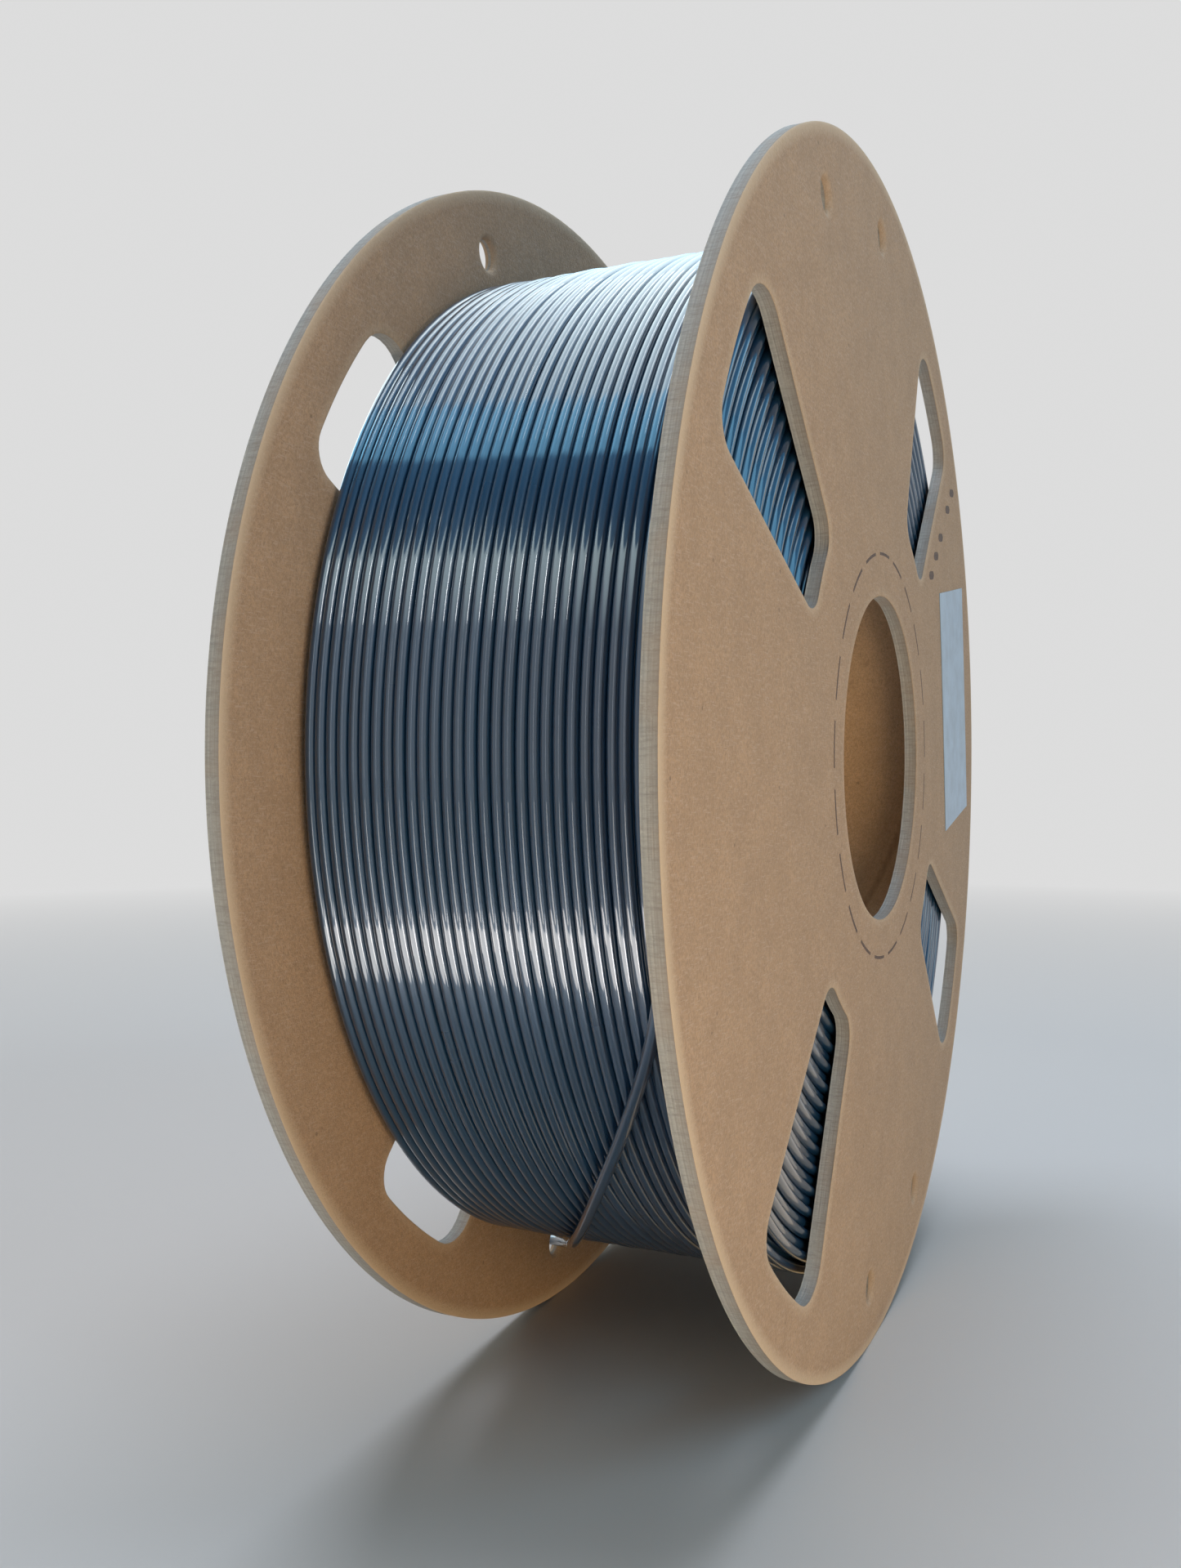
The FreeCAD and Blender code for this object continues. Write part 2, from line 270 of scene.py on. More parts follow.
def silk_filament(base):
    """Silk PLA, drawn out of a hot die: a smooth clear skin over pearl pigment.

    To the eye it shines like brushed steel under a thin varnish, with a crisp line of light on each turn.
    """
    material, tree, shader, _ = new_finish("silk_pla", 0.3, 1.46)
    run = add(tree, "ShaderNodeAttribute", attribute_name="strand").outputs["Vector"]
    pulls = {"Vector": run, "Scale": 1 / PULL_WAVE, "Detail": 2.0}
    pull = add(tree, "ShaderNodeTexNoise", pulls).outputs["Fac"]
    colour = stained(tree, shade(base, 0.88), shade(base, 1.12), pull, (0.3, 0.7))
    tree.links.new(colour, shader.inputs["Base Color"])
    gloss = add(tree, "ShaderNodeMapRange", {0: pull, 1: 0.3, 2: 0.7, 3: 0.26, 4: 0.34})
    tree.links.new(gloss.outputs["Result"], shader.inputs["Roughness"])
    # The metal is the share of pearl flakes, which mirror in the colour, and the coat is the clear skin.
    skin = {"Metallic": 0.12, "Coat Weight": 1.0, "Coat Roughness": 0.04, "Coat IOR": 1.6}
    for name, value in skin.items():
        shader.inputs[name].default_value = value
    return material


def tube_paper(base):
    """Sack paper, wound in a spiral and glued into a tube.

    To the eye it is plain brown with a fine grain and a dark slanting line at each seam.
    """
    material, tree, shader, spot = new_finish("wound_tube_paper", 0.8, 1.47)
    colour, _, grain = kraft_pulp(tree, spot, base)
    seam = add(tree, "ShaderNodeAttribute", attribute_name="seam").outputs["Fac"]
    colour = stained(tree, colour, shade(base, 0.45), seam, (0.2, 0.9), (0.6, 0.0))
    covered(tree, shader, colour, grain, 0.06, 0.7)
    return material


def label_paper(base):
    """Clay-coated label paper, pressed on by hand.

    To the eye it is smooth, with the board's relief showing through faintly. Its blue-grey colour is white
    paper darkened and cooled as painted shade.
    """
    material, tree, shader, spot = new_finish("coated_label_paper", 0.4, 1.5)
    clouds = {"Vector": spot, "Scale": 1 / COATING_CLOUD, "Detail": 4.0, "Roughness": 0.65}
    cloud = add(tree, "ShaderNodeTexNoise", clouds).outputs["Fac"]
    colour = stained(tree, shade(base, 0.86), shade(base, 1.06), cloud, (0.35, 0.65))
    covered(tree, shader, colour, cloud, 0.08, 0.6)
    return material


def printing_ink(base):
    """Flexographic ink, stamped on kraft.

    To the eye it is dark brown and matt, and thin where the paper's fibres stand out.
    """
    material, tree, shader, spot = new_finish("flexo_ink", 0.7, 1.5)
    fibres = {"Vector": spot, "Scale": 1 / FELT_GRAIN, "Detail": 4.0, "Roughness": 0.7}
    fibre = add(tree, "ShaderNodeTexNoise", fibres).outputs["Fac"]
    colour = stained(tree, shade(base), shade(base, 3.0), fibre, (0.45, 0.7), (0.0, 0.7))
    tree.links.new(colour, shader.inputs["Base Color"])
    return material


# Meshes


def polar(radius, angle):
    """Y and Z of points at a radius and an angle, both numbers or arrays."""
    turn = np.radians(angle)
    return np.stack([-radius * np.cos(turn), radius * np.sin(turn)], -1)


def placed(name, data):
    """A new object in the scene."""
    made = bpy.data.objects.new(name, data)
    bpy.context.scene.collection.objects.link(made)
    return made


def solid(name, points, faces, materials, indices=None, attributes=None, sharp=35.0):
    """A mesh piece from points in millimetres, closed and smooth, that rides on the spool's body."""
    mesh = bpy.data.meshes.new(name)
    mesh.from_pydata((np.asarray(points) * MM).tolist(), [], faces)
    for material in materials:
        mesh.materials.append(material)
    if indices is not None:
        mesh.polygons.foreach_set("material_index", np.asarray(indices, np.int32))
    for key, values in (attributes or {}).items():
        kind, field = ("FLOAT_VECTOR", "vector") if np.ndim(values) == 2 else ("FLOAT", "value")
        store = mesh.attributes.new(key, kind, "POINT")
        store.data.foreach_set(field, np.asarray(values, np.float32).ravel())
    shape = bmesh.new()
    shape.from_mesh(mesh)
    bmesh.ops.recalc_face_normals(shape, faces=shape.faces)
    shape.to_mesh(mesh)
    shape.free()
    mesh.shade_smooth()
    mesh.set_sharp_from_angle(angle=math.radians(sharp))
    piece = placed(name, mesh)
    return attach(piece, BODY)


def bands(rings, count, first=0, closed=True, hoop=False):
    """Quads between rows of points, count points to a row. In a hoop the last row joins the first."""
    faces = []
    steps = count if closed else count - 1
    for row in range(rings if hoop else rings - 1):
        low, high = first + row * count, first + (row + 1) % rings * count
        for i in range(steps):
            j = (i + 1) % count
            faces.append((low + i, low + j, high + j, high + i))
    return faces


def circle_outline(radius, count, into=1.0, centre=(0.0, 0.0)):
    """A round cut edge: its points, and the way into the board at each."""
    way = polar(1.0, np.arange(count) * 360 / count)
    return np.asarray(centre) + way * radius, way * into


def window_outline(middle, soft_high):
    """A window's cut edge: a ring's sector with straight sides and rounded corners.

    Its outer corner nearer the top or bottom of the flange is the softest.
    """
    at_low, at_high = (WINDOW_CORNER, SOFT_CORNER) if soft_high else (SOFT_CORNER, WINDOW_CORNER)
    # Each corner's circle: its radius, how far out its middle is, and where it meets the side, as the angle
    # between them and the distance from the axis.
    inner, outer_low, outer_high = (
        (curve, out, math.degrees(math.asin(curve / out)), math.sqrt(out**2 - curve**2))
        for curve, out in (
            (WINDOW_CORNER, WINDOW_INNER + WINDOW_CORNER),
            (at_low, WINDOW_OUTER - at_low),
            (at_high, WINDOW_OUTER - at_high),
        )
    )
    low, high = middle - WINDOW_SPAN / 2, middle + WINDOW_SPAN / 2
    points, ways = [], []

    def put(place, way):
        points.extend(place)
        ways.extend(way)

    def round_corner(circle, edge, side, start, stop):
        curve, out, turn, _ = circle
        way = polar(1.0, np.linspace(start, stop, CORNER_STEPS, endpoint=False))
        put(polar(out, edge - side * turn) + way * curve, way)

    def arc(radius, first, last, into):
        angles = np.linspace(first, last, ARC_STEPS, endpoint=False)
        put(polar(radius, angles), polar(1.0, angles) * into)

    def side_line(edge, side, first, last):
        run = np.linspace(first, last, SIDE_STEPS, endpoint=False)
        put(polar(run, edge), np.repeat(polar(1.0, edge + side * 90)[None], SIDE_STEPS, 0))

    (inner_turn, inner_reach), (low_turn, low_reach), (high_turn, high_reach) = (
        circle[2:] for circle in (inner, outer_low, outer_high)
    )
    arc(WINDOW_INNER, low + inner_turn, high - inner_turn, -1.0)
    round_corner(inner, high, 1, high - inner_turn + 180, high + 90)
    side_line(high, 1, inner_reach, high_reach)
    round_corner(outer_high, high, 1, high + 90, high - high_turn)
    arc(WINDOW_OUTER, high - high_turn, low + low_turn, 1.0)
    round_corner(outer_low, low, -1, low + low_turn, low - 90)
    side_line(low, -1, low_reach, inner_reach)
    round_corner(inner, low, -1, low - 90, low + inner_turn - 180)
    return np.array(points), np.array(ways)


def inside(points, outline):
    """Which points lie in a closed outline."""
    y, z = points.T[..., None]
    y0, z0 = outline.T
    y1, z1 = np.roll(y0, -1), np.roll(z0, -1)
    crosses = (z0 > z) != (z1 > z)
    at = y0 + (z - z0) / np.where(z1 == z0, 1e-9, z1 - z0) * (y1 - y0)
    return (crosses & (y < at)).sum(1) % 2 == 1


def end_hole_angles(turn):
    """Where a flange's end holes are, two at its top and two at its bottom."""
    return [middle + turn + way * END_HOLE_OFFSET for middle in END_HOLE_PAIRS for way in (-1, 1)]


def bow(points, dish_mm, radius):
    """How far the board stands out of flat: the hub's dish, and a slight wave between hub and rim."""
    y, z = points[..., 0], points[..., 1]
    out = np.hypot(y, z)
    angle = np.arctan2(z, -y)
    share = np.clip((out - DISH_START) / (radius - DISH_START), 0, 1)
    wave = 0.10 * np.sin(2 * angle + 0.8) + 0.06 * np.sin(5 * angle + 2.0)
    return dish_mm * (1 - share) ** 1.2 + wave * share**2 * (1 - share) * 4


# How the liner rolls into a cut: the depth below the face, and how far back from the cut, as a share of the
# width of the rolled edge, where the pale line with its painted highlight lies. A punch draws the paper in
# deeper than the die does.
DIE_ROLL = ((0.0, 1.0), (0.004, 0.72), (0.012, 0.47), (0.03, 0.29), (0.06, 0.15), (0.11, 0.05), (0.18, 0.0))
PUNCH_ROLL = ((0.0, 1.0), (0.05, 0.66), (0.16, 0.4), (0.36, 0.2), (0.65, 0.06), (1.0, 0.0))
ROLLED_IN = 0.2  # how deep the die draws the liner into a cut
WALL_ROWS = (0.05, 0.3, 0.5, 0.7, 0.95)  # shares of the wall between the two rolled edges
WALL_STREAKS, WALL_GRAIN = 0.03, 0.012  # how rough the die leaves the wall
RIM_POINTS, BORE_POINTS, HOLE_POINTS = 900, 240, 40
CORNER_STEPS, ARC_STEPS, SIDE_STEPS = 8, 12, 14  # of a window
DISH_START = 27.0  # the hub is dished from here outwards
# The points of a flat face: the innermost ring, the space between rings and between points, the degrees of
# turn for each mm of radius, and the space left at the cuts and the rim.
FACE_START, FACE_RING, FACE_STEP, FACE_TWIST, FACE_CLEAR, FACE_FROM_RIM = 31.5, 3.6, 3.8, 7, 1.6, 2


def face_points(radius, outlines, border):
    """Points spread in rings over a flange's flat face, clear of the cuts."""
    rings = []
    for ring in np.arange(FACE_START, radius - FACE_FROM_RIM, FACE_RING):
        steps = int(2 * math.pi * ring / FACE_STEP)
        rings.append(polar(ring, np.arange(steps) * 360 / steps + ring * FACE_TWIST))
    grid = np.concatenate(rings)
    keep = np.ones(len(grid), bool)
    for outline in outlines[1:]:
        keep &= ~inside(grid, outline)
    keep &= [np.linalg.norm(border - point, axis=1).min() > FACE_CLEAR for point in grid]
    return grid[keep]


def face_triangles(points, edges, outlines):
    """Triangles between the points, inside the first outline and outside the others."""
    made = geometry.delaunay_2d_cdt([Vector(p) for p in points.tolist()], edges, [], 0, 1e-7)
    source = np.array([origin[0] for origin in made[3]])
    triangles = source[np.array(made[2])]
    centres = points[triangles].mean(1)
    real = inside(centres, outlines[0])
    for outline in outlines[1:]:
        real &= ~inside(centres, outline)
    return triangles[real]


def flange_mesh(name, side, turn, dish_mm, sizes, materials):
    """A die-cut disc: burnished edges round every cut, plies at the walls and a slight bow."""
    radius, board = sizes.flange_diameter / MM / 2, sizes.board / MM
    cut, rim, hole = sizes.cut_edge / MM, sizes.rim_edge / MM, sizes.hole_edge / MM
    # Each cut: its outline, the width of its rolled edge, how the liner rolls in, and how strong the pale
    # line painted there is, partly scuffed paper and partly a painted highlight.
    cuts = [(circle_outline(radius, RIM_POINTS, -1.0), rim, DIE_ROLL, 1.0)]
    cuts += [(circle_outline(sizes.bore / MM / 2, BORE_POINTS), cut, DIE_ROLL, 0.3)]
    for k in range(WINDOW_COUNT):
        middle = FIRST_WINDOW + turn + k * 360 / WINDOW_COUNT
        cuts += [(window_outline(middle, k % 2 == 0), cut, DIE_ROLL, 0.5)]
    for angle in end_hole_angles(turn):
        centre = polar(radius - END_HOLE_FROM_RIM, angle)
        cuts += [(circle_outline(END_HOLE_RADIUS, HOLE_POINTS, 1.0, centre), hole, PUNCH_ROLL, 0.4)]

    # The cuts: rows of points from one flat face over its rolled edge and the wall to the other face.
    points, depths, marks, faces, indices, shifts = [], [], [], [], [], []
    flat, edges, owners = [], [], []
    rough = np.random.default_rng(11 if side > 0 else 12)
    count = 0
    for (place, way), pressed, roll, worn_and_highlit in cuts:
        size = len(place)
        deepest = roll[-1][0]
        wall_rows = [(deepest + (board - 2 * deepest) * share, 0.0) for share in WALL_ROWS]
        rows = [*roll, *wall_rows, *((board - depth, back) for depth, back in reversed(roll))]
        streak = np.abs(rough.normal(0, WALL_STREAKS, size))
        for depth, back in rows:
            wall = back == 0.0 and deepest < depth < board - deepest
            ragged = streak + np.abs(rough.normal(0, WALL_GRAIN, size)) if wall else np.zeros(size)
            points.append(place + way * (back * pressed + ragged)[:, None])
            depths.append(np.full(size, depth))
            # The pale line fades from the cut over the rolled edge: a painted highlight with some scuffing.
            marks.append(np.full(size, worn_and_highlit * (1.0 - back)))
        faces += bands(len(rows), size, count)
        for (_, back), (_, after) in zip(rows, rows[1:]):
            indices += [1 if back == after == 0.0 else 0] * size
        first = len(owners)
        flat.append(place + way * pressed)
        edges += [(first + i, first + (i + 1) % size) for i in range(size)]
        owners += [count + i for i in range(size)]
        shifts += [(len(rows) - 1) * size] * size
        count += len(rows) * size

    # The flat faces: the same triangles at both ends of the cuts.
    border = np.concatenate(flat)
    grid = face_points(radius, flat, border)
    triangles = face_triangles(np.concatenate([border, grid]), edges, flat)
    low_ids = np.concatenate([np.array(owners), count + np.arange(len(grid))])
    high_ids = np.concatenate([np.array(owners) + shifts, count + len(grid) + np.arange(len(grid))])
    for ids in (low_ids, high_ids):
        faces += [tuple(face) for face in ids[triangles].tolist()]
        indices += [0] * len(triangles)
    points += [grid, grid]
    depths += [np.zeros(len(grid)), np.full(len(grid), board)]
    marks += [np.zeros(len(grid))] * 2
    flat_points, depth = np.concatenate(points), np.concatenate(depths)
    x = side * (sizes.inner_face / MM + depth + bow(flat_points, dish_mm, radius))
    from_left = depth if side > 0 else board - depth
    # The pale line's strength goes to the liner: painted highlight and scuffing.
    attributes = {"depth": from_left, "rubbed_and_highlit": np.concatenate(marks)}
    return solid(name, np.column_stack([x, flat_points]), faces, materials, indices, attributes)


def strand_mesh(name, path, radius, sides, material):
    """A closed strand of filament along a path of points in millimetres."""
    path = np.asarray(path, float)
    along = np.gradient(path, axis=0)
    along /= np.linalg.norm(along, axis=1)[:, None]
    out = np.empty_like(path)
    last_out = path[0] * (0, 1, 1)
    for i, way in enumerate(along):
        last_out = last_out - way * (last_out @ way)
        last_out /= math.sqrt(last_out @ last_out)
        out[i] = last_out
    across = np.cross(along, out)
    swing = np.arange(sides) * 2 * math.pi / sides
    ring = out[:, None] * np.cos(swing)[:, None] + across[:, None] * np.sin(swing)[:, None]
    points = (path[:, None] + ring * radius).reshape(-1, 3)
    faces = bands(len(path), sides)
    last = (len(path) - 1) * sides
    faces += [tuple(range(sides))[::-1], tuple(range(last, last + sides))]
    run = np.concatenate([[0], np.cumsum(np.linalg.norm(np.diff(path, axis=0), axis=1))])
    marks = np.column_stack([run, run * 0, run * 0]).repeat(sides, 0)
    return solid(name, points, faces, [material], None, {"strand": marks}, 60.0)


# Waves in how the strand was laid: seed, how many, the slowest and fastest rate, and the height in mm.
SIDE_WAVES = ((3, 8, 0.7, 9.0, 0.035), (4, 8, 8.0, 40.0, 0.02))
RISE_WAVES = ((5, 8, 1.0, 12.0, 0.07), (6, 8, 10.0, 30.0, 0.025))
LOOSE_WAVES = ((8, 5, 2.0, 5.5, 0.22),)
LOOSE_TURNS, LOOSENED_OVER = 6, 4  # the last turns lie loose, by and by
LAST_ANGLE = -1.0  # where the outer layer ends and the strand lifts off
CLIMB_IN, CLIMB_OUT = 0.18, 0.3  # shares of a turn in which the strand comes up, and stops wavering
OUTER_STEPS, LAP_STEPS = 160, 150  # points in a turn
# What the strand leaves free over the outer layer, beside it, beside the end turns and on the tube.
OVER_ROOM, SIDE_ROOM, LAP_ROOM, TUBE_ROOM = 0.04, 0.15, 0.08, 0.1


def laid(waves, turned):
    """The sum of the waves along the strand, the same on each run."""
    total = 0.0
    for seed, count, slowest, fastest, height in waves:
        draw = np.random.default_rng(seed)
        rates = draw.uniform(slowest, fastest, count)
        phases = draw.uniform(0, 2 * math.pi, count)
        total += np.sin(turned[:, None] * rates + phases).sum(-1) / math.sqrt(count) * height
    return total


def outer_path(sizes):
    """The outer layer, from where it climbs out of the layer below to where the strand lifts off."""
    thick = sizes.filament / MM
    radius = sizes.winding / MM / 2 - thick / 2 - OVER_ROOM
    half = sizes.inner_face / MM - thick / 2 - SIDE_ROOM
    turned = np.arange(OUTER_STEPS // 2, sizes.turns * OUTER_STEPS + 1) / OUTER_STEPS
    done = (turned - 0.5) / (sizes.turns - 0.5)
    angle = LAST_ANGLE + (sizes.turns - turned) * 360.0
    low = 0.5 + 0.5 * np.cos(np.radians(angle + 60))
    loose = np.clip((turned - sizes.turns + LOOSE_TURNS) / LOOSENED_OVER, 0, 1) * low
    side = laid(SIDE_WAVES, turned) + loose * laid(LOOSE_WAVES, turned)
    fade = np.clip((sizes.turns - turned) / CLIMB_OUT, 0, 1)
    sunk = np.clip((turned[0] + CLIMB_IN - turned) / CLIMB_IN, 0, 1) ** 2 * thick * 0.9
    x = np.clip(half * (2 * done - 1) + side * fade, -half, half)
    return np.column_stack([x, polar(radius + laid(RISE_WAVES, turned) * fade - sunk, angle)])


# The end turns at a flange: the share of a turn before each climbs, how far every other one stands back, how
# uneven their radii and depths are, where the first starts, and the near ones' share of the dish.
CLIMB_FROM, STAND_BACK, UNEVEN_RADIUS, UNEVEN_DEPTH = 0.55, 0.6, 0.08, 0.12
FIRST_LAP_ANGLE, LAPS_FOLLOW_DISH = -120, 0.85


def side_path(sizes, side):
    """The strands that show at a flange: each layer's end turn, then the climb to the next."""
    thick = sizes.filament / MM
    lowest = sizes.tube / MM / 2 + thick / 2 + TUBE_ROOM
    highest = sizes.winding / MM / 2 - thick * 1.5
    laps = sizes.layers - 1
    draw = np.random.default_rng(21 if side > 0 else 22)
    turned = np.arange(laps * LAP_STEPS) / LAP_STEPS
    here = np.floor(turned).astype(int)
    climb = np.clip((turned - here - CLIMB_FROM) / (1 - CLIMB_FROM), 0, 1)
    climb = climb * climb * (3 - 2 * climb)
    radii = np.append(np.linspace(lowest, highest, laps), highest) + draw.normal(0, UNEVEN_RADIUS, laps + 1)
    depths = np.where(np.arange(laps + 1) % 2 == 0, 0.0, STAND_BACK)
    depths += np.abs(draw.normal(0, UNEVEN_DEPTH, laps + 1))
    radius = radii[here] * (1 - climb) + radii[here + 1] * climb
    depth = depths[here] * (1 - climb) + depths[here + 1] * climb
    place = polar(radius, FIRST_LAP_ANGLE + turned * 360 * side)
    dish = sizes.dish / MM * LAPS_FOLLOW_DISH
    bulge = bow(place, dish, sizes.flange_diameter / MM / 2) if side > 0 else 0.0
    x = side * (sizes.inner_face / MM - thick / 2 - LAP_ROOM - depth + bulge)
    return np.column_stack([x, place])


def face_patch(name, grids, thick, lift, sizes, material):
    """Thin closed patches on the near flange's outer face, each a grid of rows of (y, z)."""
    radius, dish_mm = sizes.flange_diameter / MM / 2, sizes.dish / MM
    base = (sizes.inner_face + sizes.board) / MM
    points, faces = [], []
    count = 0
    for grid in grids:
        rows, cols = grid.shape[:2]
        flat = grid.reshape(-1, 2)
        x = base + bow(flat, dish_mm, radius)
        size = rows * cols
        for first, level in ((count, lift), (count + size, lift + thick)):
            points.append(np.column_stack([x + level, flat]))
            faces += bands(rows, cols, first, False)
        ids = np.arange(size).reshape(rows, cols)
        rim = np.concatenate([ids[0], ids[1:, -1], ids[-1, -2::-1], ids[-2:0:-1, 0]]).tolist()
        for a, b in zip(rim, rim[1:] + rim[:1]):
            faces.append((count + a, count + b, count + size + b, count + size + a))
        count += 2 * size
    return solid(name, np.concatenate(points), faces, [material])


# Operators


def chosen(context):
    """The sizes and colours that the panel shows."""
    return context.scene.spool_sizes, context.scene.spool_colours


class SPOOL_OT_flanges(bpy.types.Operator):
    """Build both card flanges with their windows, bore and holes"""

    bl_idname = "spool.flanges"
    bl_label = "Flanges"

    def execute(self, context):
        sizes, colours = chosen(context)
        # The second colour is the pale line painted along the cuts: painted highlight and scuffing.
        skin = kraft_liner(colours.kraft, colours.burnished_and_highlit)
        wall = grey_board(colours.grey_board, colours.kraft, sizes.board / MM, ROLLED_IN)
        flanges = (("near_flange", 1, 0.0, sizes.dish / MM), ("far_flange", -1, FAR_TURN, 0.0))
        for node, side, turn, dish_mm in flanges:
            piece = flange_mesh(node + "_board", side, turn, dish_mm, sizes, [skin, wall])
            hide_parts(node)
        return {"FINISHED"}


# The tube's seams: how deep and wide they are, and the mark of a point with none near.
SEAM_DEPTH, SEAM_WIDTH, NO_SEAM = 0.14, 0.8, 9.0
TUBE_FOLLOWS_DISH = 0.8  # the share of the hub's dish that lengthens the tube


class SPOOL_OT_tube(bpy.types.Operator):
    """Build the spirally wound paper tube"""

    bl_idname = "spool.tube"
    bl_label = "Paper tube"

    def execute(self, context):
        sizes, colours = chosen(context)
        outer, wall = sizes.tube / MM / 2, sizes.tube_wall / MM
        strip, half = sizes.tube_strip / MM, sizes.inner_face / MM
        count, steps = 240, 72
        angles = np.arange(count) * 360 / count
        xs = np.linspace(-half, half + sizes.dish / MM * TUBE_FOLLOWS_DISH, steps)
        x, angle = np.meshgrid(xs, angles, indexing="ij")
        turn = (x + angle / 360 * strip) % strip
        seam = np.minimum(turn, strip - turn)
        inner = outer - wall + SEAM_DEPTH * np.clip(1 - seam / SEAM_WIDTH, 0, 1)
        bore = np.concatenate([x[..., None], polar(inner, angle)], -1).reshape(-1, 3)
        skin = np.concatenate([x[..., None], polar(np.full_like(inner, outer), angle)], -1)
        points = np.concatenate([bore, skin[::-1].reshape(-1, 3)])
        marks = {"seam": np.concatenate([seam.ravel(), np.full(steps * count, NO_SEAM)])}
        faces = bands(2 * steps, count, hoop=True)
        piece = solid("wound_paper_tube", points, faces, [tube_paper(colours.tube)], None, marks)
        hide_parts("core_tube")
        return {"FINISHED"}


# How many sides a strand has in the outer layer, beside the flanges and at its end.
OUTER_SIDES, LAP_SIDES, END_SIDES = 14, 10, 16
# The inner layers are one plain ring, bevelled and this many strands back from the flanges and the outside.
RING_STEPS, RING_BEVEL, RING_BACK, RING_UNDER = 180, 1.2, 1.45, 0.75


class SPOOL_OT_winding(bpy.types.Operator):
    """Wind the filament: its outer layer, the end turns at both flanges and the layers between"""

    bl_idname = "spool.winding"
    bl_label = "Winding"

    def execute(self, context):
        sizes, colours = chosen(context)
        silk = silk_filament(colours.filament)
        thick = sizes.filament / MM
        outer = strand_mesh("winding_outer_layer", outer_path(sizes), thick / 2, OUTER_SIDES, silk)
        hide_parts("filament_outer_turns")
        for side, name in ((1, "winding_near_side"), (-1, "winding_far_side")):
            strand_mesh(name, side_path(sizes, side), thick / 2, LAP_SIDES, silk)
        half = sizes.inner_face / MM - thick * RING_BACK
        low, high = sizes.tube / MM / 2 + TUBE_ROOM, sizes.winding / MM / 2 - thick * RING_UNDER
        bevelled = high - RING_BEVEL
        section = [(-half, low), (-half, bevelled), (-half + RING_BEVEL, high)]
        section += [(half - RING_BEVEL, high), (half, bevelled), (half, low)]
        angles = np.arange(RING_STEPS) * 360 / RING_STEPS
        rings = [np.column_stack([np.full(RING_STEPS, x), polar(radius, angles)]) for x, radius in section]
        points, faces = np.concatenate(rings), bands(len(rings), RING_STEPS, hoop=True)
        marks = {"strand": np.zeros((len(points), 3))}
        core = solid("winding_inner_layers", points, faces, [silk], None, marks)
        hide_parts("filament_layers")
        return {"FINISHED"}


# The filament's end lifts off to an X, a height over the outer layer and an angle. It crosses the layer at
# places of X and angle, raised so that a line between two of them clears it, and ends in a far end hole.
END_CLEARANCE, END_LIFT, CROSSING_HALF_STEP = 0.12, (25.4, 0.6, -12.0), 5.3
CROSSING = ((21.6, -23.0), (14.4, -33.5), (6.0, -44.1), (-2.3, -54.7), (-10.7, -65.3))
TURN_IN, SHORT_OF_FACE, HOLE_USED = 2.6, 0.2, 3


class SPOOL_OT_end(bpy.types.Operator):
    """Lay the filament's end across the winding and into its hole in the far flange"""

    bl_idname = "spool.end"
    bl_label = "Filament end"

    def execute(self, context):
        sizes = context.scene.spool_sizes
        radius = (sizes.winding - sizes.filament) / MM / 2
        start = outer_path(sizes)[-1]
        over = radius + sizes.filament / MM + END_CLEARANCE
        raised = over / math.cos(math.radians(CROSSING_HALF_STEP))
        lift_x, lift_height, lift_angle = END_LIFT
        half = sizes.inner_face / MM
        far_face = -half - sizes.board / MM
        hole_angle = end_hole_angles(FAR_TURN)[HOLE_USED] - 360
        hole = polar(sizes.flange_diameter / MM / 2 - END_HOLE_FROM_RIM, hole_angle)
        route = [start, (start[0] + 0.03, *polar(radius + 0.1, -4.0))]
        route += [(lift_x, *polar(over + lift_height, lift_angle))]
        route += [(x, *polar(raised, angle)) for x, angle in CROSSING]
        route += [(TURN_IN - half, *hole), (far_face + SHORT_OF_FACE, *hole)]
        curve = bpy.data.curves.new("filament_end_route", "CURVE")
        curve.dimensions = "3D"
        spline = curve.splines.new("NURBS")
        spline.points.add(len(route) - 1)
        for point, place in zip(spline.points, route):
            point.co = (*(part * MM for part in place), 1.0)
        spline.order_u = 3
        spline.use_endpoint_u = True
        spline.resolution_u = 24
        guide = bpy.data.objects.new("filament_end_route", curve)
        line = bpy.data.meshes.new_from_object(guide)
        path = np.array([vertex.co for vertex in line.vertices]) / MM
        bpy.data.objects.remove(guide)
        bpy.data.meshes.remove(line)
        silk = bpy.data.materials["silk_pla"]
        piece = strand_mesh("filament_end", path, sizes.filament / MM / 2, END_SIDES, silk)
        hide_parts("filament_tail")
        return {"FINISHED"}


class SPOOL_OT_label(bpy.types.Operator):
    """Stick the blank label on the near flange"""

    bl_idname = "spool.label"
    bl_label = "Label"

    def execute(self, context):
        sizes, colours = chosen(context)
        wide, tall = sizes.label_width / MM, sizes.label_height / MM
        y, z = np.meshgrid(np.linspace(-0.5, 0.5, 19) * wide, np.linspace(-0.5, 0.5, 29) * tall)
        lean, rise = math.sin(math.radians(LABEL_TILT)), math.cos(math.radians(LABEL_TILT))
        centre = polar(sizes.flange_diameter / MM / 2 - LABEL_FROM_RIM, LABEL_ANGLE)
        grid = np.stack([y * rise - z * lean, y * lean + z * rise], -1) + centre
        paper = label_paper(colours.label)
        piece = face_patch("blank_label", [grid], LABEL_THICK, LABEL_LIFT, sizes, paper)
        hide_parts("label")
        return {"FINISHED"}


